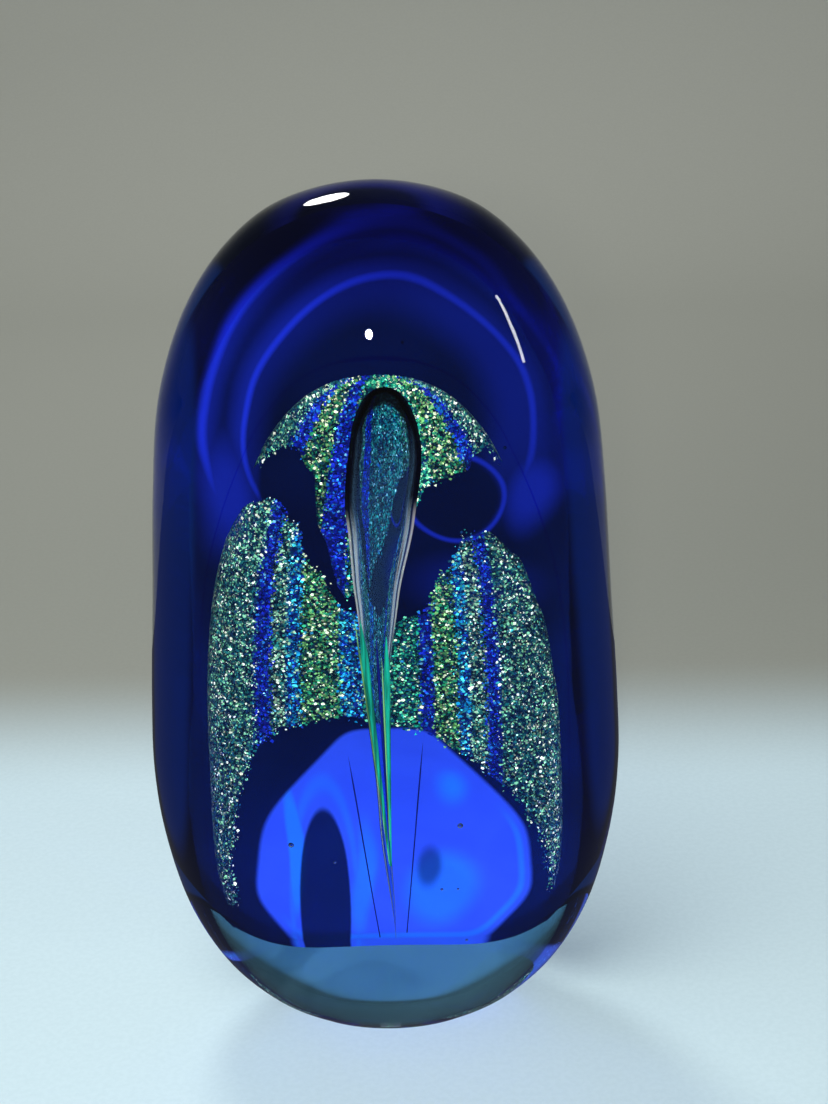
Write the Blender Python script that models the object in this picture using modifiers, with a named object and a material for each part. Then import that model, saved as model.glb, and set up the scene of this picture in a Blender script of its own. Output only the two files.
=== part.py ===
"""Cased-glass paperweight: a tall, flattened ovoid of clear and cobalt glass.

A clear core holds a long teardrop bubble. Strips of dichroic glass lie on the back of the core,
some as a hood over its dome and the rest as a skirt around its middle. A cobalt half-gather backs
them, a clear half-gather fronts the core, and a clear casing with a ground base covers them all.
Metres, +Z up, the base's centre at the origin, the front towards -Y.
"""

import math

import bmesh
import bpy

# Driving dimensions. Outlines are given in multiples of HALF_WIDTH, as (radius, height).
HALF_WIDTH = 0.035
DEPTH_RATIO = 0.6
FIT_GAP = 0.0003
STRIP_THICKNESS = 0.0007
# Layers are turned round and then flattened, so a radial gap is widened to keep FIT_GAP at the back.
SEAT_GAP = FIT_GAP / DEPTH_RATIO
STRIP_SEAT = 1.6 * SEAT_GAP
STRIP_ROOM = STRIP_SEAT + (STRIP_THICKNESS + 1.6 * FIT_GAP) / DEPTH_RATIO
HEEL_BEVEL = 0.0006

ROUND_STEPS = 40
CORE_STEPS = 32
OUTLINE_STEPS = 2

BODY_OUTLINE = [
    (0.0, 3.77), (0.34, 3.7), (0.57, 3.53), (0.745, 3.27), (0.862, 2.93), (0.912, 2.55), (0.95, 2.05),
    (0.985, 1.6), (1.0, 1.25), (0.975, 0.93), (0.9, 0.59), (0.77, 0.31), (0.6, 0.11), (0.44, 0.0),
]
GATHER_OUTLINE = [
    (0.0, 3.62), (0.3, 3.555), (0.52, 3.4), (0.69, 3.14), (0.79, 2.84), (0.84, 2.5), (0.875, 2.05),
    (0.905, 1.6), (0.92, 1.25), (0.89, 0.9), (0.8, 0.6), (0.66, 0.36),
]
CORE_OUTLINE = [
    (0.0, 3.01), (0.19, 2.945), (0.33, 2.79), (0.42, 2.6), (0.495, 2.38), (0.56, 2.1), (0.6, 1.7),
    (0.61, 1.25), (0.6, 0.8), (0.52, 0.45), (0.41, 0.17), (0.33, 0.0),
]
BUBBLE_OUTLINE = [
    (0.014, 3.01), (0.016, 2.97), (0.05, 2.95), (0.085, 2.9), (0.112, 2.82), (0.127, 2.7), (0.128, 2.58),
    (0.116, 2.42), (0.076, 2.1), (0.05, 1.8), (0.03, 1.4), (0.016, 0.95), (0.0, 0.5),
]

# Strips: name, from azimuth, to azimuth in degrees from the back (+Y) towards +X, and the colour.
HOOD_STRIPS = [
    ("hood_strip_left_tip", -76, -47, "silver_green"),
    ("hood_strip_left_blue", -47, -36, "blue"),
    ("hood_strip_left_gold", -36, -21, "gold"),
    ("hood_strip_centre_blue", -21, -12, "blue"),
    ("hood_strip_centre_green", -12, 22, "green"),
    ("hood_strip_right_gold", 22, 39, "gold"),
    ("hood_strip_right_blue", 39, 49, "blue"),
    ("hood_strip_right_tip", 49, 76, "silver_green"),
]
SKIRT_STRIPS = [
    ("skirt_strip_left_wing", -80, -45, "silver_green"),
    ("skirt_strip_left_outer_blue", -45, -38, "blue"),
    ("skirt_strip_left_silver", -38, -32, "silver"),
    ("skirt_strip_left_inner_blue", -32, -27, "cyan"),
    ("skirt_strip_left_gold", -27, -14, "gold"),
    ("skirt_strip_left_cyan", -14, -7, "cyan"),
    ("skirt_strip_centre_green", -7, 4, "green"),
    ("skirt_strip_right_green", 4, 11, "green"),
    ("skirt_strip_right_inner_blue", 11, 15, "blue"),
    ("skirt_strip_right_gold", 15, 23, "gold"),
    ("skirt_strip_right_cyan", 23, 27, "cyan"),
    ("skirt_strip_right_silver", 27, 33, "silver"),
    ("skirt_strip_right_outer_blue", 33, 38, "blue"),
    ("skirt_strip_right_wing", 38, 78, "silver_green"),
]
STRIP_SIDE_GAP = 0.7

# Upper and lower edges of the two groups: (azimuth, height in multiples of HALF_WIDTH).
HOOD_TOP = 2.985
HOOD_LOWER_EDGE = [(-76, 2.64), (-56, 2.7), (-42, 2.69), (-28, 2.58), (-21, 2.3), (-12, 2.0), (0, 2.15),
                   (21, 2.52), (38, 2.57), (48, 2.65), (64, 2.71), (76, 2.64)]
SKIRT_UPPER_EDGE = [(-80, 2.34), (-62, 2.47), (-45, 2.47), (-33, 2.36), (-23, 2.14), (-11, 1.93), (0, 1.86),
                    (12, 1.91), (20, 2.1), (30, 2.27), (40, 2.3), (52, 2.2), (62, 1.95), (70, 1.6), (78, 1.2)]
SKIRT_LOWER_EDGE = [(-80, 0.62), (-68, 0.6), (-60, 0.88), (-52, 1.16), (-45, 1.32), (-33, 1.4), (-12, 1.43),
                    (0, 1.38), (12, 1.35), (24, 1.24), (40, 1.09), (54, 0.93), (66, 0.76), (78, 0.66)]

GLASS_COLOURS = {
    "clear": (0.86, 0.93, 0.97), "steel": (0.6, 0.74, 0.84), "cobalt": (0.01, 0.03, 0.42),
    "silver_green": (0.35, 0.6, 0.52), "blue": (0.02, 0.1, 0.62), "gold": (0.6, 0.62, 0.22),
    "green": (0.1, 0.55, 0.4), "silver": (0.66, 0.72, 0.7), "cyan": (0.06, 0.5, 0.72),
}


def clear_scene():
    """Remove every object, so that a rerun starts empty."""
    for old in list(bpy.data.objects):
        bpy.data.objects.remove(old)


def new_collection(name):
    """Make a collection under the scene."""
    group = bpy.data.collections.new(name)
    bpy.context.scene.collection.children.link(group)
    return group


def glass(name, colour, roughness, metallic=0.0, transmission=0.9):
    """A Principled material for one piece."""
    material = bpy.data.materials.new(name)
    material.use_nodes = True
    shader = material.node_tree.nodes["Principled BSDF"]
    shader.inputs["Base Color"].default_value = (*GLASS_COLOURS[colour], 1.0)
    shader.inputs["Roughness"].default_value = roughness
    shader.inputs["Metallic"].default_value = metallic
    shader.inputs["Transmission Weight"].default_value = transmission
    return material


def add_object(name, mesh, group, material=None):
    """Link a mesh as a named object."""
    piece = bpy.data.objects.new(name, mesh)
    group.objects.link(piece)
    if material:
        mesh.materials.append(material)
    return piece


def curve_points(points, steps, round_start=True):
    """Catmull-Rom curve through an outline. A round start leaves the axis at a right angle."""
    first = (-points[1][0], points[1][1]) if round_start else points[0]
    ends = [first] + points + [points[-1]]
    result = []
    for index in range(1, len(ends) - 2):
        before, start, end, after = ends[index - 1:index + 3]
        for step in range(steps):
            t = step / steps
            result.append(tuple(
                0.5 * (2 * start[k] + (end[k] - before[k]) * t
                       + (2 * before[k] - 5 * start[k] + 4 * end[k] - after[k]) * t * t
                       + (3 * start[k] - before[k] - 3 * end[k] + after[k]) * t ** 3)
                for k in (0, 1)))
    result.append(points[-1])
    return result


def in_metres(points):
    """Scale an outline from multiples of HALF_WIDTH to metres."""
    return [(radius * HALF_WIDTH, height * HALF_WIDTH) for radius, height in points]


def grown(outline, distance):
    """Move each point of an outline, in metres, outwards along its normal."""
    result = []
    last = len(outline) - 1
    for index, (radius, height) in enumerate(outline):
        before = outline[max(index - 1, 0)]
        after = outline[min(index + 1, last)]
        along = (after[0] - before[0], after[1] - before[1])
        length = math.hypot(*along)
        normal = (0.0, 1.0) if radius == 0 and index == 0 else (-along[1] / length, along[0] / length)
        result.append((max(radius + normal[0] * distance, 0.0), height + normal[1] * distance))
    return result


def down_to(outline, floor):
    """Cut an outline that runs down off at a height, with a last point on it."""
    kept = [point for point in outline if point[1] > floor]
    below = next((point for point in outline if point[1] <= floor), kept[-1])
    above = kept[-1]
    share = (above[1] - floor) / (above[1] - below[1]) if above[1] > below[1] else 0.0
    return kept + [(above[0] + (below[0] - above[0]) * share, floor)]


def radius_at(outline, height):
    """The radius of an outline that runs down, at one height."""
    for upper, lower in zip(outline, outline[1:]):
        if upper[1] >= height >= lower[1]:
            share = (upper[1] - height) / max(upper[1] - lower[1], 1e-9)
            return upper[0] + (lower[0] - upper[0]) * share
    return outline[-1][0]


def value_at(edge, azimuth):
    """Smoothly interpolate an edge's height at an azimuth."""
    for (left, low), (right, high) in zip(edge, edge[1:]):
        if left <= azimuth <= right:
            share = (azimuth - left) / (right - left)
            share = share * share * (3 - 2 * share)
            return low + (high - low) * share
    return edge[0][1] if azimuth < edge[0][0] else edge[-1][1]


def turned(name, outline, group, steps, material=None):
    """Turn a closed outline around Z with a Screw modifier and flatten it front to back."""
    mesh = bpy.data.meshes.new(name)
    vertices = [(radius, 0.0, height) for radius, height in outline]
    edges = [(index, index + 1) for index in range(len(vertices) - 1)]
    if outline[0][0] > 0:
        edges.append((len(vertices) - 1, 0))
    mesh.from_pydata(vertices, edges, [])
    piece = add_object(name, mesh, group, material)
    piece.scale = (1.0, DEPTH_RATIO, 1.0)
    screw = piece.modifiers.new("turn", "SCREW")
    screw.steps = steps
    screw.render_steps = steps
    screw.use_merge_vertices = True
    screw.merge_threshold = 0.00001
    screw.use_smooth_shade = True
    return piece


def core_surface():
    """The outline of the core, in metres."""
    return in_metres(curve_points(CORE_OUTLINE, OUTLINE_STEPS))


def gather_surface():
    """The outer outline of the two half-gathers, in metres."""
    return in_metres(curve_points(GATHER_OUTLINE, OUTLINE_STEPS))


def make_casing(group):
    """The clear outer casing, open at the ground base, where the core comes through."""
    outside = in_metres(curve_points(BODY_OUTLINE, OUTLINE_STEPS))
    base_radius = outside[-1][0]
    outside = down_to(outside, HEEL_BEVEL) + [(base_radius - HEEL_BEVEL, 0.0)]
    over_gathers = grown(gather_surface(), SEAT_GAP)
    shoulder = over_gathers[-1][1] - FIT_GAP
    over_gathers.append((over_gathers[-1][0], shoulder))
    around_core = [point for point in grown(core_surface(), SEAT_GAP) if point[1] < shoulder]
    around_core.insert(0, (radius_at(grown(core_surface(), SEAT_GAP), shoulder), shoulder))
    around_core = down_to(around_core, 0.0)
    inside = list(reversed(over_gathers + around_core))
    return turned("outer_casing", outside + inside, group, ROUND_STEPS,
                  glass("casing_glass", "steel", 0.03))


def make_core(group):
    """The clear core, with the teardrop hole poked down into it from its top."""
    hole = in_metres(curve_points(BUBBLE_OUTLINE, 2, round_start=False))
    mouth = hole[0][0]
    outside = [point for point in core_surface() if point[0] > mouth * 1.5]
    outline = list(reversed(hole)) + outside + [(0.0, 0.0)]
    return turned("core_gather", outline, group, CORE_STEPS, glass("core_glass", "clear", 0.02))


def half_box(name, sign, group):
    """A cutter that covers the front (-1) or the back (+1), up to the plane between the halves."""
    reach = 4 * HALF_WIDTH
    bpy.ops.mesh.primitive_cube_add(size=1.0)
    box = bpy.context.object
    box.name = name
    box.scale = (2 * reach, reach, 2 * reach)
    box.location = (0.0, sign * (reach / 2 - FIT_GAP / 2), 2 * HALF_WIDTH)
    box.display_type = "WIRE"
    box.hide_render = True
    for owner in list(box.users_collection):
        owner.objects.unlink(box)
    group.objects.link(box)
    return box


def make_half_gather(name, inner_gap, cutter, group, material):
    """One half of the second gather: a thick shell over the core, cut off at the middle plane."""
    outside = gather_surface()
    floor = outside[-1][1]
    inside = list(reversed(down_to(grown(core_surface(), inner_gap), floor)))
    piece = turned(name, outside + inside, group, CORE_STEPS, material)
    cut = piece.modifiers.new("half", "BOOLEAN")
    cut.operation = "DIFFERENCE"
    cut.solver = "EXACT"
    cut.object = cutter
    return piece


def make_strip(name, start, end, top_edge, low_edge, group, material):
    """A strip of dichroic glass: a grid bent onto the back of the core, then thickened."""
    start += STRIP_SIDE_GAP / 2
    end -= STRIP_SIDE_GAP / 2
    columns = max(2, round((end - start) / 7))
    middle = (start + end) / 2
    length = value_at(top_edge, middle) - value_at(low_edge, middle)
    rows = max(6, round(length / 0.09))
    surface = grown(core_surface(), STRIP_SEAT)
    shape = bmesh.new()
    bmesh.ops.create_grid(shape, x_segments=columns, y_segments=rows, size=0.5)
    for vertex in shape.verts:
        azimuth = start + (end - start) * (vertex.co.x + 0.5)
        top = value_at(top_edge, azimuth) * HALF_WIDTH
        low = value_at(low_edge, azimuth) * HALF_WIDTH
        height = low + (top - low) * (vertex.co.y + 0.5)
        radius = radius_at(surface, height)
        angle = math.radians(azimuth)
        vertex.co = (radius * math.sin(angle), radius * math.cos(angle) * DEPTH_RATIO, height)
    mesh = bpy.data.meshes.new(name)
    shape.to_mesh(mesh)
    shape.free()
    piece = add_object(name, mesh, group, material)
    thicken = piece.modifiers.new("thickness", "SOLIDIFY")
    thicken.thickness = STRIP_THICKNESS
    thicken.offset = -1.0
    thicken.use_quality_normals = True
    return piece


def make_strips(group):
    """Every dichroic strip of the hood and the skirt."""
    hood_top = [(-90, HOOD_TOP), (90, HOOD_TOP)]
    for name, start, end, colour in HOOD_STRIPS:
        make_strip(name, start, end, hood_top, HOOD_LOWER_EDGE, group,
                   glass(name + "_glass", colour, 0.25, metallic=0.8, transmission=0.1))
    for name, start, end, colour in SKIRT_STRIPS:
        make_strip(name, start, end, SKIRT_UPPER_EDGE, SKIRT_LOWER_EDGE, group,
                   glass(name + "_glass", colour, 0.25, metallic=0.8, transmission=0.1))


def main():
    """Build the paperweight."""
    clear_scene()
    parts = new_collection("paperweight")
    cutters = new_collection("cutters")
    front_cutter = half_box("front_cutter", -1, cutters)
    back_cutter = half_box("back_cutter", 1, cutters)
    make_casing(parts)
    make_core(parts)
    make_half_gather("cobalt_back_gather", STRIP_ROOM, front_cutter, parts,
                     glass("cobalt_glass", "cobalt", 0.03))
    make_half_gather("clear_front_gather", SEAT_GAP, back_cutter, parts,
                     glass("front_glass", "clear", 0.03))
    make_strips(parts)


main()
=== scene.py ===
"""Looks for the cased-glass paperweight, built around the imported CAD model.

The clear glass is one refracting body with the teardrop cavity inside it. A cobalt half-gather backs the
core, and each dichroic strip is a thin film covered in small mirror flakes.
"""

import math
import random

import bpy
from mathutils import Matrix, Vector


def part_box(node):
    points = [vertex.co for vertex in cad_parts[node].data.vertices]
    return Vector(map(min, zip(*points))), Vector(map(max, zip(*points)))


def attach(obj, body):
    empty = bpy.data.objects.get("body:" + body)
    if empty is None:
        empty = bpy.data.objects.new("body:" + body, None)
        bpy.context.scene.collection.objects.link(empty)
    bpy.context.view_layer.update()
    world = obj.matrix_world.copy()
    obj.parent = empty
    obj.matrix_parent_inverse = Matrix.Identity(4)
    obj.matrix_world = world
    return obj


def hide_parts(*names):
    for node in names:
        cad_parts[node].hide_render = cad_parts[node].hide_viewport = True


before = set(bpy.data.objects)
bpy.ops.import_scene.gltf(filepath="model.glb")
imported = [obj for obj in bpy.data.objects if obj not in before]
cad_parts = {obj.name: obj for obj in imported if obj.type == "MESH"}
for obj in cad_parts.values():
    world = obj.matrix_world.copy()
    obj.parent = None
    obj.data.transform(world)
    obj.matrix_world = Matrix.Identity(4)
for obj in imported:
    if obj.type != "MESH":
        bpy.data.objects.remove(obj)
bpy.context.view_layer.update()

# Every size and place below is in half widths of the casing, unless its comment says otherwise.
CASING_TOP_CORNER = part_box("outer_casing")[1]
HALF_WIDTH = CASING_TOP_CORNER.x
DEPTH_RATIO = CASING_TOP_CORNER.y / CASING_TOP_CORNER.x
GLASS_INDEX = 1.5

# Outlines repeat the CAD design's, as (radius, height) pairs that run down from the axis.
BODY_OUTLINE = [
    (0.0, 3.77), (0.34, 3.7), (0.57, 3.53), (0.745, 3.27), (0.862, 2.93), (0.912, 2.55), (0.95, 2.05),
    (0.985, 1.6), (1.0, 1.25), (0.975, 0.93), (0.9, 0.59), (0.77, 0.31), (0.6, 0.11), (0.44, 0.0),
]
GATHER_OUTLINE = [
    (0.0, 3.62), (0.3, 3.555), (0.52, 3.4), (0.69, 3.14), (0.79, 2.84), (0.84, 2.5), (0.875, 2.05),
    (0.905, 1.6), (0.92, 1.25), (0.89, 0.9), (0.8, 0.6), (0.66, 0.36),
]
CORE_OUTLINE = [
    (0.0, 3.01), (0.19, 2.945), (0.33, 2.79), (0.42, 2.6), (0.495, 2.38), (0.56, 2.1), (0.6, 1.7),
    (0.61, 1.25), (0.6, 0.8), (0.52, 0.45), (0.41, 0.17), (0.33, 0.0),
]
BUBBLE_OUTLINE = [
    (0.0, 2.97), (0.05, 2.95), (0.085, 2.9), (0.112, 2.82), (0.127, 2.7), (0.128, 2.58),
    (0.116, 2.42), (0.076, 2.1), (0.05, 1.8), (0.03, 1.4), (0.016, 0.95), (0.0, 0.5),
]
# How far the teardrop's middle line leans off the axis, as (height, offset to the right).
BUBBLE_LEAN = [(0.5, 0.02), (1.1, -0.01), (1.7, -0.028), (2.1, -0.016), (2.45, 0.004), (2.77, 0.027)]
# The cobalt gather: its lower rim climbs towards the sides, and the shape blends into it below RIM_BLEND.
GATHER_FLOOR = 0.36
GATHER_CLEARANCE = 0.06
GATHER_INNER_TOP = 3.07
RIM_CLIMB = 4.0
RIM_CLIMB_POWER = 5
RIM_CLIMB_LIMIT = 0.8
RIM_BLEND = 1.25
# Seed bubbles caught in the glass: centre and radius.
SEEDS = [
    ((-0.36, -0.05, 0.98), 0.011), ((0.27, -0.05, 1.06), 0.011), ((0.2, -0.1, 0.78), 0.006),
    ((0.26, -0.08, 0.77), 0.005), ((0.3, -0.2, 0.55), 0.005), ((-0.2, -0.1, 0.92), 0.006),
    ((0.45, -0.1, 2.75), 0.006), ((-0.5, 0.0, 2.4), 0.005), ((0.1, -0.2, 3.2), 0.005),
]
# Threads drawn down beside the teardrop's tail: colour, then (x, height, width) at the top and at the foot.
THREADS = [
    ("green", (-0.078, 2.03, 0.032), (0.007, 0.87, 0.005)),
    ("green", (0.014, 1.95, 0.026), (0.01, 0.87, 0.004)),
    ("gold", (-0.099, 2.05, 0.007), (0.003, 0.88, 0.002)),
    ("gold", (-0.004, 1.85, 0.006), (0.008, 0.9, 0.002)),
    ("blue", (-0.022, 1.95, 0.014), (0.009, 0.9, 0.003)),
    ("blue", (-0.136, 1.4, 0.006), (-0.039, 0.52, 0.004)),
    ("blue", (0.138, 1.46, 0.006), (0.062, 0.54, 0.004)),
]

# Flakes: how many lie on a square of one half width, their sizes, and how far they and the film stand off.
FLAKES_PER_AREA = 12000
FLAKE_SMALLEST = 0.0024
FLAKE_SPREAD = 0.0055
FLAKE_LIFT = 0.022
FILM_LIFT = 1.6 * FLAKE_LIFT
FLAKE_HIGHEST = 2.99
STRIP_MEAN_RADIUS = 0.55
# Flakes thin out below this height and beyond this azimuth, in degrees.
THIN_BELOW = 1.3
THIN_BEYOND = 55

# Strips: CAD name, first and last azimuth in degrees from the back towards +X, and the colour.
# Their edges are (azimuth, height) pairs.
HOOD_STRIPS = [
    ("hood_strip_left_tip", -76, -47, "silver_green"),
    ("hood_strip_left_blue", -47, -36, "blue"),
    ("hood_strip_left_gold", -36, -21, "gold"),
    ("hood_strip_centre_blue", -21, -12, "blue"),
    ("hood_strip_centre_green", -12, 22, "green"),
    ("hood_strip_right_gold", 22, 39, "gold"),
    ("hood_strip_right_blue", 39, 49, "blue"),
    ("hood_strip_right_tip", 49, 76, "silver_green"),
]
SKIRT_STRIPS = [
    ("skirt_strip_left_wing", -80, -45, "silver_green"),
    ("skirt_strip_left_outer_blue", -45, -38, "blue"),
    ("skirt_strip_left_silver", -38, -32, "silver"),
    ("skirt_strip_left_inner_blue", -32, -27, "cyan"),
    ("skirt_strip_left_gold", -27, -14, "gold"),
    ("skirt_strip_left_cyan", -14, -7, "cyan"),
    ("skirt_strip_centre_green", -7, 4, "green"),
    ("skirt_strip_right_green", 4, 11, "green"),
    ("skirt_strip_right_inner_blue", 11, 15, "blue"),
    ("skirt_strip_right_gold", 15, 23, "gold"),
    ("skirt_strip_right_cyan", 23, 27, "cyan"),
    ("skirt_strip_right_silver", 27, 33, "silver"),
    ("skirt_strip_right_outer_blue", 33, 38, "blue"),
    ("skirt_strip_right_wing", 38, 78, "silver_green"),
]
HOOD_TOP_EDGE = [(-90, 2.985), (90, 2.985)]
HOOD_LOWER_EDGE = [(-76, 2.64), (-56, 2.7), (-42, 2.69), (-28, 2.58), (-21, 2.3), (-12, 2.0), (0, 2.15),
                   (21, 2.52), (38, 2.57), (48, 2.65), (64, 2.71), (76, 2.64)]
SKIRT_UPPER_EDGE = [(-80, 2.34), (-62, 2.47), (-45, 2.47), (-33, 2.36), (-23, 2.14), (-11, 1.93),
                    (0, 1.86), (12, 1.91), (20, 2.1), (30, 2.27), (40, 2.3), (52, 2.2), (62, 1.95),
                    (70, 1.6), (78, 1.2)]
SKIRT_LOWER_EDGE = [(-80, 0.62), (-68, 0.6), (-60, 0.88), (-52, 1.16), (-45, 1.32), (-33, 1.4), (-12, 1.43),
                    (0, 1.38), (12, 1.35), (24, 1.24), (40, 1.09), (54, 0.93), (66, 0.76), (78, 0.66)]

# Each dichroic colour: the film behind the flakes, then the flakes' tints, their shares and their painted
# glints, the light that each gives off of its own.
DICHROIC = {
    "silver_green": ((0.001, 0.014, 0.035), [((0.01, 0.22, 0.24), 5, 0.5), ((0.3, 0.75, 0.42), 3, 0.9),
                                             ((1.0, 0.97, 0.7), 1.5, 1.6), ((0.003, 0.06, 0.18), 5, 0.3)]),
    "blue": ((0.001, 0.006, 0.16), [((0.003, 0.03, 0.66), 7, 0.7), ((0.01, 0.25, 0.9), 2, 0.8),
                                    ((0.002, 0.01, 0.34), 5, 0.4), ((0.2, 0.6, 0.95), 0.6, 1.0)]),
    "gold": ((0.001, 0.016, 0.02), [((0.26, 0.6, 0.18), 4, 0.9), ((1.0, 0.95, 0.55), 2, 1.6),
                                    ((0.02, 0.4, 0.18), 5, 0.6), ((0.003, 0.08, 0.15), 5, 0.3)]),
    "green": ((0.001, 0.025, 0.04), [((0.005, 0.46, 0.28), 5, 0.7), ((0.2, 0.85, 0.4), 2.4, 1.1),
                                     ((0.001, 0.1, 0.22), 5, 0.3), ((0.95, 1.0, 0.55), 1.2, 1.6)]),
    "silver": ((0.001, 0.016, 0.035), [((0.4, 0.72, 0.42), 4, 0.9), ((1.0, 0.97, 0.7), 2, 1.6),
                                       ((0.02, 0.32, 0.3), 5, 0.6), ((0.003, 0.07, 0.18), 5, 0.3)]),
    "cyan": ((0.001, 0.015, 0.12), [((0.003, 0.38, 0.75), 5, 0.8), ((0.08, 0.85, 0.85), 2, 1.2),
                                    ((0.001, 0.05, 0.5), 5, 0.4), ((0.6, 0.95, 0.5), 0.8, 1.3)]),
}


def curve_points(points, steps):
    """Catmull-Rom curve through an outline, which leaves the axis at a right angle."""
    mirrored = (-points[1][0], points[1][1])
    ends = [mirrored] + points + [points[-1]]
    result = []
    for index in range(1, len(ends) - 2):
        before, start, end, after = ends[index - 1:index + 3]
        for step in range(steps):
            t = step / steps
            result.append(tuple(
                0.5 * (2 * start[k] + (end[k] - before[k]) * t
                       + (2 * before[k] - 5 * start[k] + 4 * end[k] - after[k]) * t * t
                       + (3 * start[k] - before[k] - 3 * end[k] + after[k]) * t ** 3)
                for k in (0, 1)))
    result.append(points[-1])
    return result


def radius_at(outline, height):
    """The radius of an outline that runs down, at one height."""
    for upper, lower in zip(outline, outline[1:]):
        if upper[1] >= height >= lower[1]:
            share = (upper[1] - height) / max(upper[1] - lower[1], 1e-9)
            return upper[0] + (lower[0] - upper[0]) * share
    return outline[-1][0]


def value_at(edge, place):
    """Smoothly interpolate a list of (place, value) pairs."""
    for (left, low), (right, high) in zip(edge, edge[1:]):
        if left <= place <= right:
            share = (place - left) / (right - left)
            share = share * share * (3 - 2 * share)
            return low + (high - low) * share
    return edge[0][1] if place < edge[0][0] else edge[-1][1]


def on_body(radius, azimuth, height):
    """A point in metres, from a radius and height in half widths and an azimuth from the back."""
    return Vector((radius * math.sin(azimuth) * HALF_WIDTH,
                   radius * math.cos(azimuth) * DEPTH_RATIO * HALF_WIDTH, height * HALF_WIDTH))


def add_mesh(name, vertices, faces, materials, slots=None, smooth=True):
    """Make an object from vertices and faces."""
    mesh = bpy.data.meshes.new(name)
    mesh.from_pydata([tuple(vertex) for vertex in vertices], [], faces)
    for material in materials:
        mesh.materials.append(material)
    if slots is not None:
        mesh.polygons.foreach_set("material_index", slots)
    mesh.polygons.foreach_set("use_smooth", [smooth] * len(mesh.polygons))
    mesh.update()
    piece = bpy.data.objects.new(name, mesh)
    bpy.context.scene.collection.objects.link(piece)
    return piece


def turned_shell(outline, segments, vertices, faces, lean=((0.0, 0.0),), inward=False):
    """Add the surface of a turned and flattened outline to a mesh in the making.

    lean is how far its middle line stands to the right, as (height, offset).
    """
    base = len(vertices)
    rings = [point for point in outline if point[0] > 1e-6]

    def leaning(radius, azimuth, height):
        return on_body(radius, azimuth, height) + Vector((value_at(lean, height) * HALF_WIDTH, 0, 0))

    vertices.append(leaning(0, 0, outline[0][1]))
    for radius, height in rings:
        for step in range(segments):
            vertices.append(leaning(radius, 2 * math.pi * step / segments, height))
    vertices.append(leaning(0, 0, outline[-1][1]))
    last = len(vertices) - 1
    made = []
    for step in range(segments):
        after = (step + 1) % segments
        made.append((base, base + 1 + after, base + 1 + step))
        for ring in range(len(rings) - 1):
            upper = base + 1 + ring * segments
            lower = upper + segments
            made.append((upper + step, upper + after, lower + after, lower + step))
        lower = base + 1 + (len(rings) - 1) * segments
        made.append((lower + step, lower + after, last))
    faces.extend([tuple(reversed(face)) for face in made] if inward else made)


def new_material(name):
    """A material with an empty node tree and an output node."""
    material = bpy.data.materials.new(name)
    material.use_nodes = True
    tree = material.node_tree
    tree.nodes.clear()
    output = tree.nodes.new("ShaderNodeOutputMaterial")
    return material, tree, output


def place_nodes(tree):
    """Object coordinates in half widths: a vector, and its x, y and z."""
    coordinates = tree.nodes.new("ShaderNodeTexCoord")
    scale = tree.nodes.new("ShaderNodeVectorMath")
    scale.operation = "SCALE"
    scale.inputs["Scale"].default_value = 1 / HALF_WIDTH
    tree.links.new(coordinates.outputs["Object"], scale.inputs[0])
    split = tree.nodes.new("ShaderNodeSeparateXYZ")
    tree.links.new(scale.outputs[0], split.inputs[0])
    return scale.outputs[0], split.outputs[0], split.outputs[1], split.outputs[2]


def maths(tree, operation, first, second=None, third=None):
    """A Math node on numbers or sockets."""
    node = tree.nodes.new("ShaderNodeMath")
    node.operation = operation
    for socket, value in zip(node.inputs, (first, second, third)):
        if value is None:
            continue
        if isinstance(value, (int, float)):
            socket.default_value = value
        else:
            tree.links.new(value, socket)
    return node.outputs[0]


def noise(tree, vector, scale, detail=2.0, distortion=0.0):
    """A noise texture's value."""
    node = tree.nodes.new("ShaderNodeTexNoise")
    node.inputs["Scale"].default_value = scale
    node.inputs["Detail"].default_value = detail
    node.inputs["Distortion"].default_value = distortion
    tree.links.new(vector, node.inputs["Vector"])
    return node.outputs["Fac"]


def between(tree, value, low, high, to_low=0.0, to_high=1.0):
    """Smoothly map a value from low..high to to_low..to_high."""
    node = tree.nodes.new("ShaderNodeMapRange")
    node.interpolation_type = "SMOOTHSTEP"
    tree.links.new(value, node.inputs["Value"])
    node.inputs["From Min"].default_value = low
    node.inputs["From Max"].default_value = high
    node.inputs["To Min"].default_value = to_low
    node.inputs["To Max"].default_value = to_high
    return node.outputs["Result"]


def mixed(tree, factor, first, second):
    """A mix of two colours, each a tuple or a socket."""
    node = tree.nodes.new("ShaderNodeMix")
    node.data_type = "RGBA"
    tree.links.new(factor, node.inputs["Factor"])
    for socket, value in ((node.inputs[6], first), (node.inputs[7], second)):
        if isinstance(value, tuple):
            socket.default_value = (*value, 1.0)
        else:
            tree.links.new(value, socket)
    return node.outputs[2]


def product_colour(tree, first, second):
    """Two colours multiplied together."""
    node = tree.nodes.new("ShaderNodeMix")
    node.data_type = "RGBA"
    node.blend_type = "MULTIPLY"
    node.inputs["Factor"].default_value = 1.0
    tree.links.new(first, node.inputs[6])
    tree.links.new(second, node.inputs[7])
    return node.outputs[2]


def strongest(tree, *values):
    """The largest of several values."""
    result = values[0]
    for value in values[1:]:
        result = maths(tree, "MAXIMUM", result, value)
    return result


def product(tree, *values):
    """The product of several values."""
    result = values[0]
    for value in values[1:]:
        result = maths(tree, "MULTIPLY", result, value)
    return result


def metal(tree, tint, metallic, roughness, painted_glint):
    """A shader for a reflecting coat with a painted glint: it gives off a little light of its own tint."""
    shader = tree.nodes.new("ShaderNodeBsdfPrincipled")
    shader.inputs["Metallic"].default_value = metallic
    shader.inputs["Roughness"].default_value = roughness
    shader.inputs["Emission Strength"].default_value = painted_glint
    tree.links.new(tint, shader.inputs["Base Color"])
    tree.links.new(tint, shader.inputs["Emission Color"])
    return shader


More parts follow.
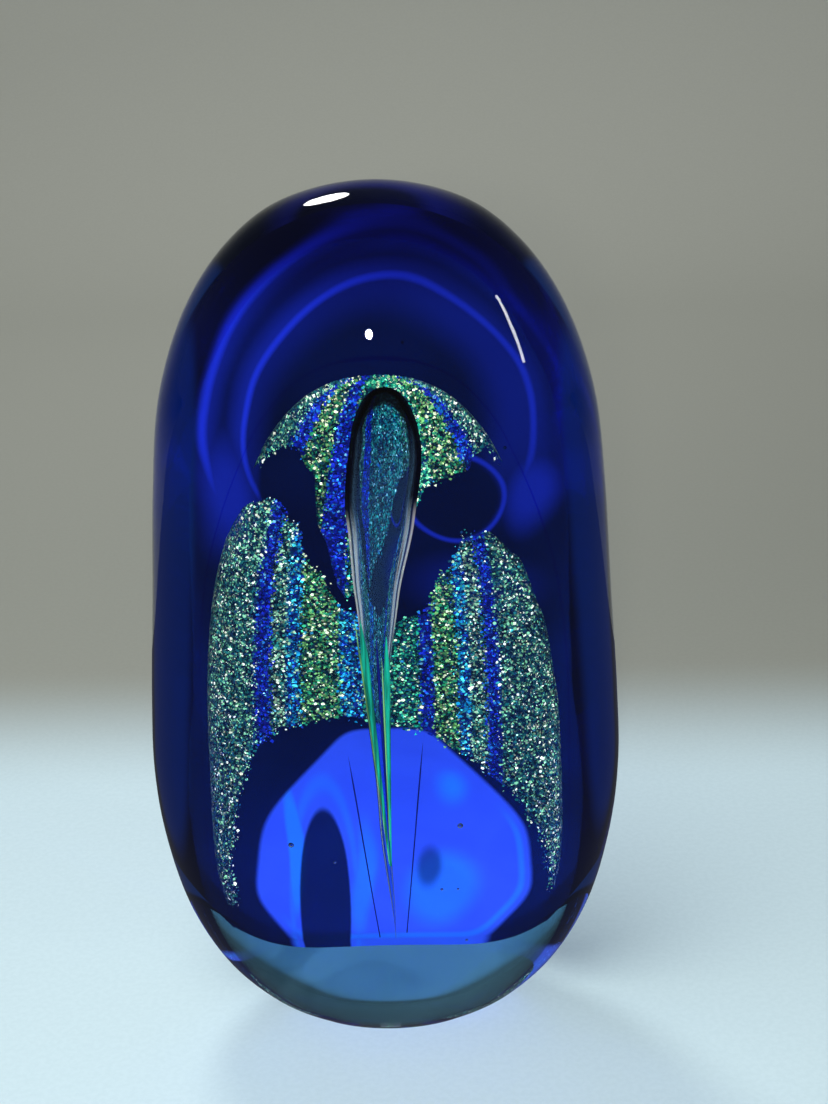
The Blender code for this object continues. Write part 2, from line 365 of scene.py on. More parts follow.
def add_painted_glow(tree, shader, colour, output):
    """Send a shader to the surface output with a painted glow of the given colour on top, which makes the
    surface give off light.
    """
    gleam = tree.nodes.new("ShaderNodeEmission")
    tree.links.new(colour, gleam.inputs["Color"])
    both = tree.nodes.new("ShaderNodeAddShader")
    tree.links.new(shader.outputs[0], both.inputs[0])
    tree.links.new(gleam.outputs[0], both.inputs[1])
    tree.links.new(both.outputs[0], output.inputs["Surface"])


def ellipse(tree, x, z, centre, radii):
    """Distance from a centre in (x, z), as a share of the radii: 1 on the ellipse."""
    across = maths(tree, "DIVIDE", maths(tree, "SUBTRACT", x, centre[0]), radii[0])
    upwards = maths(tree, "DIVIDE", maths(tree, "SUBTRACT", z, centre[1]), radii[1])
    squares = maths(tree, "ADD", product(tree, across, across), product(tree, upwards, upwards))
    return maths(tree, "SQRT", squares)


def ring_line(tree, distance, place, width):
    """1 on the line where an ellipse's distance equals place, falling to 0 at width to either side."""
    off = maths(tree, "ABSOLUTE", maths(tree, "SUBTRACT", distance, place))
    return between(tree, off, width, 0.0)


def rim_height(tree, x):
    """The height of the cobalt gather's lower rim at an x."""
    power = maths(tree, "POWER", maths(tree, "ABSOLUTE", x), RIM_CLIMB_POWER)
    climb = maths(tree, "MULTIPLY", power, RIM_CLIMB)
    return maths(tree, "ADD", GATHER_FLOOR, maths(tree, "MINIMUM", climb, RIM_CLIMB_LIMIT))


def clear_glass():
    """The casing's glass: clear in front and flashed with blue behind, with painted shade that darkens the
    blue towards the top and darkens the whole crown, and steel-grey around the heel.
    """
    material, tree, output = new_material("clear_casing_glass")
    vector, x, y, z = place_nodes(tree)
    shader = tree.nodes.new("ShaderNodeBsdfPrincipled")
    shader.inputs["Transmission Weight"].default_value = 1.0
    shader.inputs["Roughness"].default_value = 0.0
    shader.inputs["IOR"].default_value = GLASS_INDEX
    drift = maths(tree, "MULTIPLY", maths(tree, "SUBTRACT", noise(tree, vector, 1.5), 0.5), 0.1)
    behind = between(tree, maths(tree, "ADD", y, drift), -0.12, 0.12)
    # The blue behind is the glass's own colour; its darkening towards the top is painted shade.
    flash_and_painted_shade = mixed(tree, between(tree, z, 2.9, 3.55), (0.16, 0.32, 0.8), (0.03, 0.03, 0.16))
    tint = mixed(tree, behind, (0.96, 0.98, 1.0), flash_and_painted_shade)
    above_rim = maths(tree, "SUBTRACT", maths(tree, "ADD", z, maths(tree, "MULTIPLY", drift, 0.2)),
                      rim_height(tree, x))
    # A darker steel-blue tint around the heel, mottled by noise.
    heel = product(tree, between(tree, above_rim, 0.03, -0.01), between(tree, y, -0.2, 0.0))
    heel_mottling = between(tree, noise(tree, vector, 2.4, distortion=1.2), 0.35, 0.65)
    tint = mixed(tree, heel, tint, mixed(tree, heel_mottling, (0.008, 0.06, 0.15), (0.022, 0.12, 0.27)))
    # Painted shade: the whole crown, front and back, is darkened.
    painted_crown_shade = mixed(tree, between(tree, z, 3.3, 3.6), (1.0, 1.0, 1.0), (0.2, 0.16, 0.34))
    tint = product_colour(tree, tint, painted_crown_shade)
    tree.links.new(tint, shader.inputs["Base Color"])
    tree.links.new(shader.outputs[0], output.inputs["Surface"])
    volume = tree.nodes.new("ShaderNodeVolumeAbsorption")
    volume.inputs["Color"].default_value = (0.25, 0.6, 0.86, 1.0)
    volume.inputs["Density"].default_value = 12.0
    tree.links.new(volume.outputs[0], output.inputs["Volume"])
    return material


def painted_light_patch(tree, x, z):
    """Signed distance outside the painted patch of light near the foot of the back wall: a rounded
    pentagon.

    Each side is the direction it faces, as x and z, and how far out it lies.
    """
    sides = [
        (0.0, -1.0, -0.345), (1.0, 0.05, 0.5), (-1.0, 0.1, 0.51), (0.81, 0.59, 0.87), (-0.82, 0.57, 0.85),
        (0.0, 1.0, 1.3), (-0.85, -0.53, 0.09), (0.79, -0.62, 0.03),
    ]
    corner_softness = 0.08
    result = None
    for along, up, reach in sides:
        line = maths(tree, "ADD", maths(tree, "MULTIPLY", x, along), maths(tree, "MULTIPLY", z, up))
        outside = maths(tree, "SUBTRACT", line, reach)
        result = outside if result is None else maths(tree, "SMOOTH_MAX", result, outside, corner_softness)
    return result


def dome_arcs(tree, x, z):
    """Two painted arcs of light over the dome, each a thin line with a softer band beside it."""
    outer_ring = ellipse(tree, x, z, (0.01, 2.6), (0.56, 0.8))
    inner_ring = ellipse(tree, x, z, (0.03, 2.65), (0.44, 0.56))
    core_shadow = ellipse(tree, x, z, (0.0, 2.66), (0.36, 0.46))
    outer_fade = between(tree, maths(tree, "ADD", x, maths(tree, "MULTIPLY", z, 0.25)), 0.2, 1.0, 0.75, 0.1)
    outer_band = product(tree, between(tree, outer_ring, 1.05, 1.0),
                         between(tree, outer_ring, 0.84, 1.0, 0.0, 0.5), outer_fade)
    outer_line = product(tree, ring_line(tree, outer_ring, 0.99, 0.05), outer_fade, 1.3)
    inner_band = product(tree, between(tree, inner_ring, 0.95, 1.0),
                         between(tree, inner_ring, 1.2, 1.0, 0.0, 0.5),
                         between(tree, x, 0.2, -0.3, 0.4, 0.85))
    inner_line = product(tree, ring_line(tree, inner_ring, 1.0, 0.05),
                         between(tree, x, 0.4, -0.3, 0.6, 1.0))
    faint_band = maths(tree, "MULTIPLY", ring_line(tree, inner_ring, 1.18, 0.2), 0.08)
    inner_fill = product(tree, between(tree, core_shadow, 0.8, 1.15, 0.0, 0.2),
                         between(tree, inner_ring, 1.05, 1.0))
    arcs = strongest(tree, outer_band, outer_line, inner_band, inner_line, faint_band, inner_fill)
    return product(tree, arcs, between(tree, z, 2.1, 2.75))


def upper_glow(tree, x, z):
    """How much painted light lies on the back wall above the waist: the arcs, pools at the sides and the
    crown, cut by two painted shadows.
    """
    left_shadow = ellipse(tree, x, z, (-0.2, 2.36), (0.175, 0.41))
    right_shadow = ellipse(tree, x, z, (0.24, 2.38), (0.15, 0.17))
    left_pool = between(tree, ellipse(tree, x, z, (-0.48, 2.42), (0.15, 0.36)), 1.0, 0.2, 0.0, 0.45)
    right_pool = between(tree, ellipse(tree, x, z, (0.47, 2.4), (0.1, 0.22)), 1.0, 0.2, 0.0, 0.4)
    low_pool = between(tree, ellipse(tree, x, z, (0.3, 2.0), (0.3, 0.2)), 1.0, 0.2, 0.0, 0.16)
    crown = product(tree, between(tree, z, 3.48, 3.54), between(tree, z, 3.6, 3.57),
                    between(tree, maths(tree, "ABSOLUTE", x), 0.4, 0.1, 0.0, 0.3))
    shadow_rim = maths(tree, "MULTIPLY", ring_line(tree, right_shadow, 1.08, 0.1), 0.6)
    glow = strongest(tree, dome_arcs(tree, x, z), left_pool, right_pool, low_pool, crown, shadow_rim)
    for shadow in (left_shadow, right_shadow):
        glow = product(tree, glow, between(tree, shadow, 0.92, 1.04, 0.03, 1.0))
    return glow


def painted_patch_glow(tree, x, z, warped_x, warped_z):
    """The painted patch of light near the foot, with painted highlights and a dark arch and blotch of
    painted shade inside it: how much it covers, and how far it turns from violet to cyan.
    """
    distance = painted_light_patch(tree, x, z)
    # Painted shade: a dark arch and a dark blotch inside the patch.
    arch = ellipse(tree, x, warped_z, (-0.222, 0.5), (0.085, 0.42))
    shade_blotch = ellipse(tree, warped_x, warped_z, (0.12, 0.66), (0.05, 0.09))
    cover = product(tree, between(tree, distance, 0.01, -0.01), between(tree, arch, 0.95, 1.05, 0.04, 1.0),
                    between(tree, shade_blotch, 0.5, 1.2, 0.35, 1.0))
    # Painted highlights: a light line along the patch's lower edge, two bright strips, a spot, a pool and a
    # halo around the arch.
    low_edge = between(tree, maths(tree, "SUBTRACT", z, maths(tree, "MULTIPLY", x, 0.6)), 0.75, 0.5)
    edge_line = product(tree, ring_line(tree, distance, -0.03, 0.018), low_edge)
    left_streak = between(tree, ellipse(tree, warped_x, z, (-0.335, 0.75), (0.035, 0.33)), 1.0, 0.6)
    right_streak = between(tree, ellipse(tree, warped_x, z, (-0.095, 0.62), (0.05, 0.32)),
                           1.0, 0.4, 0.0, 0.7)
    spot = between(tree, ellipse(tree, warped_x, warped_z, (0.19, 1.0), (0.08, 0.12)), 1.0, 0.1)
    pool = between(tree, ellipse(tree, warped_x, warped_z, (0.17, 0.58), (0.16, 0.18)), 1.0, 0.5, 0.0, 0.75)
    halo = maths(tree, "MULTIPLY", ring_line(tree, arch, 1.3, 0.2), 0.45)
    cyan = strongest(tree, maths(tree, "MULTIPLY", edge_line, 0.8), left_streak, right_streak, spot, pool,
                     halo)
    return cover, cyan


def cobalt_glass():
    """Cobalt glass of uneven depth, navy, with painted light and shade on it: arcs and pools of painted
    light above the waist cut by painted shadows, a painted patch of light by the foot, darker teal bands of
    painted shade at the sides, and a faint painted glow of its own.
    """
    material, tree, output = new_material("cobalt_glass")
    vector, x, _, z = place_nodes(tree)
    wobble = maths(tree, "MULTIPLY", maths(tree, "SUBTRACT", noise(tree, vector, 1.6, 1.0), 0.5), 0.16)
    warped_x = maths(tree, "ADD", x, wobble)
    warped_z = maths(tree, "ADD", z, maths(tree, "MULTIPLY", wobble, 0.8))
    # Painted light and shade: glow carries the painted arcs and pools of light with their painted shadows,
    # cover and cyan the painted patch of light by the foot.
    glow = upper_glow(tree, warped_x, warped_z)
    cover, cyan = painted_patch_glow(tree, x, z, warped_x, warped_z)
    # Painted light that varies in strips across the patch.
    streaks = between(tree, noise(tree, vector, 2.6, distortion=1.6), 0.35, 0.65, 0.75, 1.0)
    depth = between(tree, noise(tree, vector, 1.1, distortion=0.6), 0.3, 0.75)
    # Painted shade along each side: a darker teal band, which also glows faintly.
    side_edge = maths(tree, "SUBTRACT", 0.69, maths(tree, "MULTIPLY", z, 0.05))
    side = between(tree, maths(tree, "SUBTRACT", maths(tree, "ABSOLUTE", x), side_edge), -0.01, 0.02)
    navy = mixed(tree, depth, (0.006, 0.028, 0.11), (0.014, 0.045, 0.2))
    tint = mixed(tree, glow, navy, (0.08, 0.14, 0.8))
    tint = mixed(tree, side, tint, (0.01, 0.08, 0.17))
    tint = mixed(tree, cover, tint, mixed(tree, cyan, (0.16, 0.2, 0.85), (0.16, 0.5, 0.95)))
    through = tree.nodes.new("ShaderNodeBsdfTransparent")
    tree.links.new(tint, through.inputs["Color"])
    # A painted glow: the gather gives off light of its own, faint in the navy and strong in the painted
    # arcs, bands and patch.
    painted_glow = mixed(tree, depth, (0.0004, 0.002, 0.01), (0.0006, 0.003, 0.022))
    painted_glow = mixed(tree, glow, painted_glow, (0.018, 0.034, 0.55))
    painted_glow = mixed(tree, side, painted_glow, (0.0012, 0.014, 0.08))
    painted_patch_light = mixed(tree, cyan, (0.052, 0.11, 0.66), (0.02, 0.2, 0.78))
    painted_patch_light = mixed(tree, streaks, (0.02, 0.04, 0.4), painted_patch_light)
    painted_glow = mixed(tree, cover, painted_glow, painted_patch_light)
    add_painted_glow(tree, through, painted_glow, output)
    return material


def cobalt_inner_glass():
    """The inner face of the cobalt gather: a weaker blue that drifts a little."""
    material, tree, output = new_material("cobalt_inner_glass")
    vector = place_nodes(tree)[0]
    through = tree.nodes.new("ShaderNodeBsdfTransparent")
    drift = between(tree, noise(tree, vector, 1.3), 0.3, 0.7)
    tree.links.new(mixed(tree, drift, (0.45, 0.6, 0.95), (0.55, 0.7, 0.98)), through.inputs["Color"])
    tree.links.new(through.outputs[0], output.inputs["Surface"])
    return material


def cavity_glass():
    """The wall of the teardrop: painted shade darkens its rim around the dome, and lower down a painted
    reflection lies as a pale glow along its sides.
    """
    material, tree, output = new_material("teardrop_wall")
    vector, _, _, z = place_nodes(tree)
    shader = tree.nodes.new("ShaderNodeBsdfGlass")
    shader.inputs["IOR"].default_value = GLASS_INDEX
    shader.inputs["Roughness"].default_value = 0.0
    height = maths(tree, "ADD", z, maths(tree, "MULTIPLY", noise(tree, vector, 3.0), 0.2))
    # The rim's colour is painted: a pale pink painted reflection lower down, dark painted shade around the
    # dome.
    edge = mixed(tree, between(tree, height, 2.4, 2.65), (0.85, 0.72, 0.66), (0.012, 0.016, 0.03))
    facing = tree.nodes.new("ShaderNodeLayerWeight")
    facing.inputs["Blend"].default_value = 0.5
    slope = facing.outputs["Facing"]
    painted_rim_shade = maths(tree, "ADD", slope, between(tree, z, 2.8, 2.93, 0.0, 0.13))
    tint = mixed(tree, between(tree, painted_rim_shade, 0.2, 0.27), (0.38, 0.6, 0.85), edge)
    tree.links.new(tint, shader.inputs["Color"])
    # A painted reflection: a pale glow along the sides lower down.
    painted_reflection_mask = product(tree, between(tree, slope, 0.4, 0.55), between(tree, height, 2.62, 2.5),
                          between(tree, height, 2.0, 2.15))
    add_painted_glow(tree, shader, mixed(tree, painted_reflection_mask, (0.0, 0.0, 0.0), (0.34, 0.3, 0.28)), output)
    return material


def grain_colours(tree, value, colours):
    """A hard-edged ramp, where each (colour, share) takes its share of the values from 0 to 1."""
    node = tree.nodes.new("ShaderNodeValToRGB")
    ramp = node.color_ramp
    ramp.interpolation = "CONSTANT"
    total = sum(share for _, share in colours)
    place = 0.0
    for index, (colour, share) in enumerate(colours):
        stop = ramp.elements[index] if index < 2 else ramp.elements.new(place)
        stop.position = place
        stop.color = (*colour, 1.0)
        place += share / total
    tree.links.new(value, node.inputs["Fac"])
    return node.outputs["Color"]


def dimmed(colour, share):
    """A colour at a share of its strength."""
    return tuple(channel * share for channel in colour)


def film_glass(name, colour, flakes):
    """The film of a dichroic strip: a dark ground crazed into fine grains of the flakes' colours, with a
    faint painted glint.
    """
    grains_per_half_width = 125.0
    ground_share = 14
    material, tree, output = new_material(name)
    vector, _, _, z = place_nodes(tree)
    grains = tree.nodes.new("ShaderNodeTexVoronoi")
    grains.inputs["Scale"].default_value = grains_per_half_width
    tree.links.new(vector, grains.inputs["Vector"])
    pick = tree.nodes.new("ShaderNodeSeparateColor")
    tree.links.new(grains.outputs["Color"], pick.inputs["Color"])
    ground = [(colour, ground_share)]
    for tint, share, _ in flakes:
        ground.append((dimmed(tint, 0.55), share))
    shader = metal(tree, grain_colours(tree, pick.outputs[0], ground), 0.5, 0.35, 0.3)
    clear = tree.nodes.new("ShaderNodeBsdfTransparent")
    cover = tree.nodes.new("ShaderNodeMixShader")
    patches = between(tree, noise(tree, vector, 34.0), 0.35, 0.6, 0.35, 0.95)
    tree.links.new(product(tree, patches, between(tree, z, 0.6, 1.2, 0.5, 1.0)), cover.inputs[0])
    tree.links.new(clear.outputs[0], cover.inputs[1])
    tree.links.new(shader.outputs[0], cover.inputs[2])
    tree.links.new(cover.outputs[0], output.inputs["Surface"])
    return material


def flake_glass(name, colour, painted_glint):
    """A mirror-like dichroic flake, whose tint drifts a little from place to place, and which gives off a
    painted glint.
    """
    material, tree, output = new_material(name)
    vector = place_nodes(tree)[0]
    drift = between(tree, noise(tree, vector, 26.0), 0.3, 0.7)
    lighter = tuple(min(channel * 1.25 + 0.02, 1.0) for channel in colour)
    shader = metal(tree, mixed(tree, drift, dimmed(colour, 0.55), lighter), 1.0, 0.28, painted_glint)
    tree.links.new(shader.outputs[0], output.inputs["Surface"])
    return material


def add_seed(centre, radius, vertices, faces):
    """Add a tiny air bubble, facing inwards, to the glass body."""
    base = len(vertices)
    rings, segments = 8, 12
    middle = Vector(centre) * HALF_WIDTH
    for ring in range(1, rings):
        polar = math.pi * ring / rings
        for step in range(segments):
            turn = 2 * math.pi * step / segments
            around = math.sin(polar)
            spot = Vector((around * math.cos(turn), around * math.sin(turn), math.cos(polar)))
            vertices.append(middle + spot * radius * HALF_WIDTH)
    top = len(vertices)
    bottom = top + 1
    pole = Vector((0, 0, radius * HALF_WIDTH))
    vertices += [middle + pole, middle - pole]
    for step in range(segments):
        after = (step + 1) % segments
        faces.append((top, base + after, base + step))
        for ring in range(rings - 2):
            upper = base + ring * segments
            lower = upper + segments
            faces.append((upper + step, upper + after, lower + after, lower + step))
        low = base + (rings - 2) * segments
        faces.append((bottom, low + step, low + after))


def make_body():
    """The clear glass, one solid with the teardrop cavity and a few seed bubbles inside it."""
    vertices, faces = [], []
    turned_shell(curve_points(BODY_OUTLINE, 12), 192, vertices, faces)
    outer_count = len(faces)
    turned_shell(curve_points(BUBBLE_OUTLINE, 8), 64, vertices, faces, BUBBLE_LEAN, inward=True)
    for centre, radius in SEEDS:
        add_seed(centre, radius, vertices, faces)
    slots = [0] * outer_count + [1] * (len(faces) - outer_count)
    body = add_mesh("clear_glass_body", vertices, faces, [clear_glass(), cavity_glass()], slots)
    body.data.set_sharp_from_angle(angle=math.radians(30))
    return body


def inner_gather_points(core, count):
    """Points down the inner surface of the cobalt half-gather, closer together towards the top."""
    points = [(0.0, GATHER_INNER_TOP)]
    for index in range(1, count):
        share = (index / (count - 1)) ** 1.35
        height = GATHER_INNER_TOP - (GATHER_INNER_TOP - GATHER_FLOOR) * share
        points.append((radius_at(core, height - GATHER_CLEARANCE) + GATHER_CLEARANCE, height))
    return points


def gather_point(curve, lift, radius, azimuth, height):
    """A point of the half-gather, raised where its lower rim climbs at the sides."""
    joint_gap = 0.0002
    if height < RIM_BLEND:
        across = abs(radius * math.sin(azimuth))
        floor = GATHER_FLOOR + min(RIM_CLIMB * across ** RIM_CLIMB_POWER, RIM_CLIMB_LIMIT)
        share = (height - GATHER_FLOOR) / (RIM_BLEND - GATHER_FLOOR)
        height = floor + (RIM_BLEND - floor) * share
        radius = radius_at(curve, height - lift) + lift
    return on_body(max(radius, 1e-4), azimuth, height) + Vector((0, joint_gap, 0))


def make_gather():
    """The cobalt half-gather: a thick half shell behind the core, closed by flat faces."""
    outer = curve_points(GATHER_OUTLINE, 6)
    core = curve_points(CORE_OUTLINE, 6)
    count = len(outer)
    surfaces = ((outer, 0.0, outer), (core, GATHER_CLEARANCE, inner_gather_points(core, count)))
    steps = 72
    vertices, faces, slots = [], [], []
    for step in range(steps + 1):
        azimuth = math.pi * (step / steps - 0.5)
        for curve, lift, points in surfaces:
            for radius, height in points:
                vertices.append(gather_point(curve, lift, radius, azimuth, height))
    ring = 2 * count
    for step in range(steps):
        here, there = step * ring, (step + 1) * ring
        for index in range(count - 1):
            faces.append((here + index, here + index + 1, there + index + 1, there + index))
            slots.append(0)
            inside = count + index
            faces.append((there + inside, there + inside + 1, here + inside + 1, here + inside))
            slots.append(1)
        faces.append((here + count - 1, here + ring - 1, there + ring - 1, there + count - 1))
        slots.append(0)
    for start, flip in ((0, False), (steps * ring, True)):
        for index in range(count - 1):
            face = (start + index, start + count + index, start + count + index + 1, start + index + 1)
            faces.append(tuple(reversed(face)) if flip else face)
            slots.append(1)
    gather = add_mesh("cobalt_gather", vertices, faces, [cobalt_glass(), cobalt_inner_glass()], slots)
    gather.data.set_sharp_from_angle(angle=math.radians(40))
    return gather


def strip_point(core, azimuth, height, lift):
    """A point on the back of the core, lifted off it by a share of the half width."""
    return on_body(radius_at(core, height) + lift, math.radians(azimuth), height)


def film_mesh(core, start, end, top_edge, low_edge):
    """The film of one dichroic strip: a curved grid between two azimuths and two edges."""
    rows = 26
    columns = max(3, round((end - start) / 2))
    vertices, faces = [], []
    for row in range(rows + 1):
        for column in range(columns + 1):
            azimuth = start + (end - start) * column / columns
            top = value_at(top_edge, azimuth)
            low = value_at(low_edge, azimuth)
            height = low + (top - low) * row / rows
            vertices.append(strip_point(core, azimuth, height, FILM_LIFT))
    for row in range(rows):
        for column in range(columns):
            corner = row * (columns + 1) + column
            faces.append((corner, corner + 1, corner + columns + 2, corner + columns + 1))
    return vertices, faces


def flake_corners(centre, azimuth, chance):
    """The corners of one small flake, tilted at random about the way to the front."""
    side_on = math.radians(azimuth)
    inwards = Vector((-math.sin(side_on), -math.cos(side_on) * 1.3, 0.15))
    tilt = Vector((chance.gauss(0, 1), chance.gauss(0, 1), chance.gauss(0, 1)))
    normal = (inwards.normalized() + tilt * 0.35).normalized()
    across = normal.orthogonal().normalized()
    across.rotate(Matrix.Rotation(chance.uniform(0, 2 * math.pi), 3, normal))
    along = normal.cross(across)
    size = HALF_WIDTH * (FLAKE_SMALLEST + FLAKE_SPREAD * chance.random() ** 1.5)
    sides = chance.choice((3, 4, 4, 5))
    corners = []
    for side in range(sides):
        turn = 2 * math.pi * side / sides
        reach = size * chance.uniform(0.75, 1.2)
        corners.append(centre + across * math.cos(turn) * reach + along * math.sin(turn) * reach)
    return corners


def make_strip(core, name, start, end, top_edge, low_edge, materials, shares, chance):
    """One dichroic strip: a thin film with flakes strewn over its front, ragged at its edges."""
    vertices, faces = film_mesh(core, start, end, top_edge, low_edge)
    slots = [0] * len(faces)
    middle = (start + end) / 2
    length = value_at(top_edge, middle) - value_at(low_edge, middle)
    area = length * math.radians(end - start) * STRIP_MEAN_RADIUS
    for _ in range(round(area * FLAKES_PER_AREA)):
        azimuth = chance.uniform(start, end) + chance.gauss(0, 0.6)
        top = value_at(top_edge, azimuth)
        low = value_at(low_edge, azimuth)
        height = chance.uniform(low, top) + chance.gauss(0, 0.012)
        if chance.random() < max((THIN_BELOW - height) * 0.7, (abs(azimuth) - THIN_BEYOND) * 0.02):
            continue
        lift = FLAKE_LIFT * chance.uniform(0.4, 1.3)
        centre = strip_point(core, azimuth, min(height, FLAKE_HIGHEST), lift)
        corners = flake_corners(centre, azimuth, chance)
        faces.append(tuple(range(len(vertices), len(vertices) + len(corners))))
        vertices += corners
        slots.append(1 + chance.choices(range(len(shares)), shares)[0])
    return add_mesh(name, vertices, faces, materials, slots, smooth=False)


def make_strips():
    """Every strip of the hood and the skirt, each made in place of its CAD node, which is hidden."""
    core = curve_points(CORE_OUTLINE, 8)
    chance = random.Random(7)
    palette = {}
    for colour, (film, flakes) in DICHROIC.items():
        palette[colour] = [film_glass(f"dichroic_{colour}_film", film, flakes)]
        for index, (tint, _, painted_glint) in enumerate(flakes):
            palette[colour].append(flake_glass(f"dichroic_{colour}_flake_{index + 1}", tint, painted_glint))
    for strips, top_edge, low_edge in ((HOOD_STRIPS, HOOD_TOP_EDGE, HOOD_LOWER_EDGE),
                                       (SKIRT_STRIPS, SKIRT_UPPER_EDGE, SKIRT_LOWER_EDGE)):
        for node, start, end, colour in strips:
            shares = [share for _, share, _ in DICHROIC[colour][1]]
            piece = make_strip(core, node.replace("strip", "glitter"), start, end, top_edge, low_edge,
                               palette[colour], shares, chance)
            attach(piece, "root")
            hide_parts(node)


def thread_glass(colour):
    """A drawn thread of dichroic glass: its flake tint, streaked lengthwise, with a painted glint except on
    the blue threads.
    """
    material, tree, output = new_material(f"dichroic_{colour}_thread")
    vector = place_nodes(tree)[0]
    stretch = tree.nodes.new("ShaderNodeVectorMath")
    stretch.operation = "MULTIPLY"
    stretch.inputs[1].default_value = (90.0, 90.0, 2.0)
    tree.links.new(vector, stretch.inputs[0])
    streak = between(tree, noise(tree, stretch.outputs[0], 1.0), 0.35, 0.65)
    film, flakes = DICHROIC[colour]
    first_flake = flakes[0][0]
    if colour == "blue":
        dark, light, painted_glint = film, dimmed(film, 2.0), 0.0
    else:
        dark, light, painted_glint = dimmed(first_flake, 0.3), first_flake, 0.6
    shader = metal(tree, mixed(tree, streak, dark, light), 0.7, 0.3, painted_glint)
    tree.links.new(shader.outputs[0], output.inputs["Surface"])
    return material


def make_threads():
    """Thin tapered threads that follow the tail down to its tip."""
    steps, sides = 24, 6
    for number, (colour, start, end) in enumerate(THREADS):
        vertices, faces = [], []
        for step in range(steps + 1):
            share = step / steps
            x = start[0] + (end[0] - start[0]) * share
            height = start[1] + (end[1] - start[1]) * share
            width = (start[2] + (end[2] - start[2]) * share) / 2 * min(1.0, 0.1 + 6 * share)
            depth = 0.03 * share - 0.05
            for side in range(sides):
                turn = 2 * math.pi * side / sides
                y = depth + width * 0.4 * math.sin(turn)
                vertices.append(Vector((x + width * math.cos(turn), y, height)) * HALF_WIDTH)
        for step in range(steps):
            for side in range(sides):
                after = (side + 1) % sides
                upper, lower = step * sides, (step + 1) * sides
                faces.append((upper + side, lower + side, lower + after, upper + after))
        faces.append(tuple(range(sides)))
        faces.append(tuple(reversed(range(steps * sides, (steps + 1) * sides))))
        piece = add_mesh(f"tail_thread_{number + 1}", vertices, faces, [thread_glass(colour)])
        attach(piece, "root")


def stage_paper():
    """Pale paper: cool on the floor, and a warmer grey up the backdrop, lighter far back."""
    material, tree, output = new_material("stage_paper")
    vector, _, y, _ = place_nodes(tree)
    shader = tree.nodes.new("ShaderNodeBsdfPrincipled")
    shader.inputs["Roughness"].default_value = 0.8
    grain = between(tree, noise(tree, vector, 40.0, 3.0), 0.3, 0.7)
    floor = mixed(tree, grain, (0.6, 0.77, 0.83), (0.63, 0.8, 0.86))
    near_wall = mixed(tree, grain, (0.31, 0.325, 0.285), (0.32, 0.335, 0.295))
    far_wall = mixed(tree, grain, (0.78, 0.8, 0.71), (0.8, 0.82, 0.73))
    wall = mixed(tree, between(tree, y, 3.0, 15.0), near_wall, far_wall)
    tree.links.new(mixed(tree, between(tree, y, 1.7, 3.2), floor, wall), shader.inputs["Base Color"])
    tree.links.new(shader.outputs[0], output.inputs["Surface"])
    return material


def make_stage():
    """A pale floor that sweeps up into a plain backdrop. Its sizes are in metres."""
    width, front, split, bend, radius, height = 1.4, -1.2, 0.12, 0.35, 0.25, 1.3
    bend_steps = 24
    material = stage_paper()
    sweep = [(split, 0.0)]
    for step in range(bend_steps + 1):
        turn = math.pi / 2 * step / bend_steps
        sweep.append((bend + radius * math.sin(turn), radius * (1 - math.cos(turn))))
    sweep.append((bend + radius, height))
    for name, outline, mirrored in (("stage_floor", [(front, 0.0), (split, 0.0)], False),
                                    ("stage_sweep", sweep, True)):
        vertices, faces = [], []
        for depth, up in outline:
            vertices += [(-width, depth, up), (width, depth, up)]
        for index in range(len(outline) - 1):
            faces.append((2 * index, 2 * index + 1, 2 * index + 3, 2 * index + 2))
        stage = add_mesh(name, vertices, faces, [material])
        # The near floor is seen through the glass but isn't mirrored on it: no haze lies on the colours.
        stage.visible_glossy = mirrored


def add_light(name, place, aim, size, power, in_gloss, shape="DISK"):
    """An area light that points at aim. in_gloss says if polished surfaces mirror it."""
    light = bpy.data.lights.new(name, "AREA")
    light.shape = shape
    light.size = size[0] * HALF_WIDTH
    light.size_y = size[-1] * HALF_WIDTH
    light.energy = power
    lamp = bpy.data.objects.new(name, light)
    bpy.context.scene.collection.objects.link(lamp)
    lamp.location = Vector(place) * HALF_WIDTH
    direction = Vector(aim) * HALF_WIDTH - lamp.location
    lamp.rotation_euler = direction.to_track_quat("-Z", "Y").to_euler()
    lamp.visible_glossy = in_gloss
    lamp.visible_transmission = False
    lamp.visible_camera = False


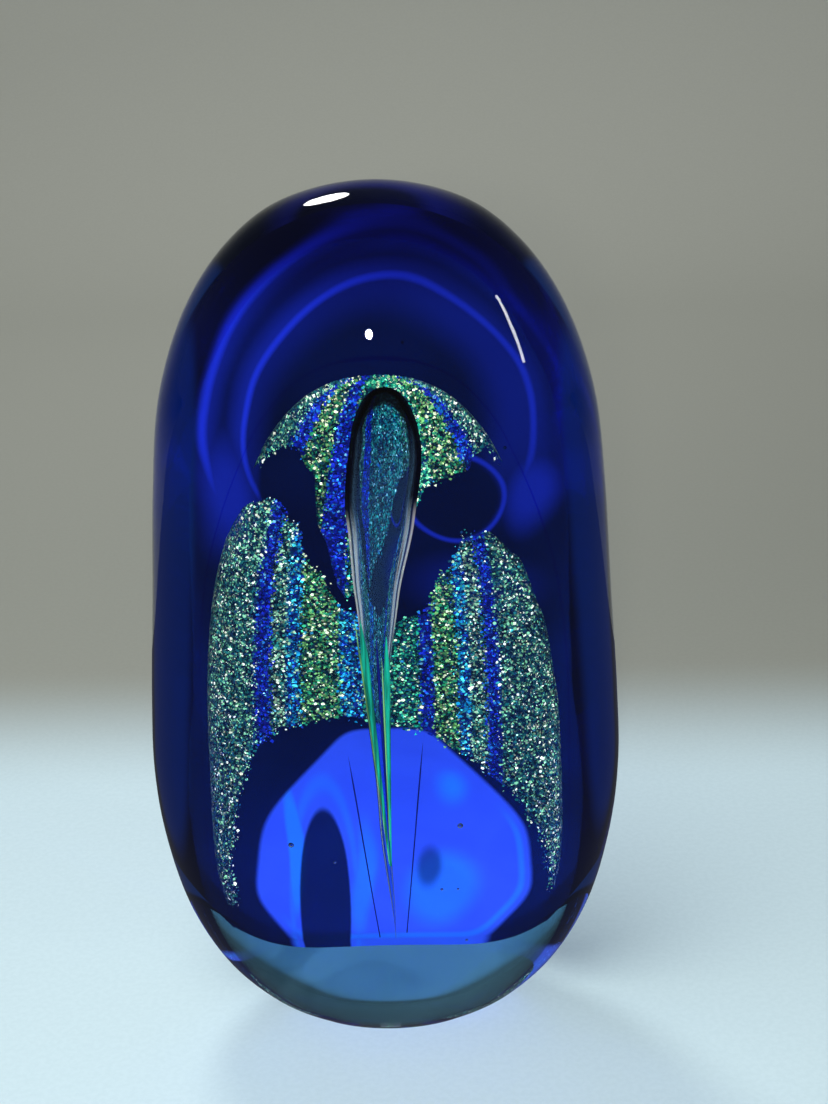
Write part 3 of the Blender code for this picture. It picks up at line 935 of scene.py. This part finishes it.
def make_lights():
    """Soft studio light, and three small lamps whose reflections lie on the dome."""
    world = bpy.data.worlds.new("studio")
    bpy.context.scene.world = world
    world.use_nodes = True
    background = world.node_tree.nodes["Background"]
    background.inputs["Color"].default_value = (0.5, 0.52, 0.55, 1.0)
    background.inputs["Strength"].default_value = 0.13
    add_light("overhead_panel", (-3, -2, 14), (0, 0, 1.5), [8], 1.5, False)
    add_light("front_panel", (-0.5, -7.5, 5.5), (0, 0, 1.8), [5], 0.15, False)
    add_light("camera_lamp", (-0.35, -8.09, 5.62), (0, 0, 2), [0.4], 0.25, True)
    add_light("top_lamp", (-2.07, 4.85, 9.72), (0, 0, 3.5), [2.0], 0.35, True)
    add_light("side_strip", (7.4, -3.7, 5.5), (0.5, 0, 3.2), [0.3, 3.0], 0.05, True, "RECTANGLE")


def make_camera():
    """The camera: 25 degrees above the horizon, eight half widths away, rolled a little over one degree."""
    distance = 8
    elevation = math.radians(25.0)
    roll = math.radians(1.10)
    back = Vector((0, -math.cos(elevation), math.sin(elevation)))
    right = Vector((1, 0, 0))
    up = back.cross(right)
    target = Vector((0.136, 0, 2.223)) * HALF_WIDTH
    place = target + back * distance * HALF_WIDTH
    right_rolled = right * math.cos(roll) - up * math.sin(roll)
    up_rolled = right * math.sin(roll) + up * math.cos(roll)
    data = bpy.data.cameras.new("camera")
    data.sensor_fit = "VERTICAL"
    data.sensor_height = 36.0
    data.lens = 63.5
    data.clip_start = 0.01
    camera = bpy.data.objects.new("camera", data)
    bpy.context.scene.collection.objects.link(camera)
    camera.matrix_world = Matrix((
        (right_rolled.x, up_rolled.x, back.x, place.x), (right_rolled.y, up_rolled.y, back.y, place.y),
        (right_rolled.z, up_rolled.z, back.z, place.z), (0, 0, 0, 1)))
    bpy.context.scene.camera = camera


make_camera()
make_stage()
make_lights()
bpy.context.scene.view_settings.view_transform = "Standard"
body = make_body()
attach(body, "root")
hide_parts("outer_casing", "core_gather", "clear_front_gather")
# Clear glass passes light on, so its own outline throws no shadow on what lies inside or beneath it.
body.visible_shadow = False
gather = make_gather()
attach(gather, "root")
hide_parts("cobalt_back_gather")
make_strips()
make_threads()
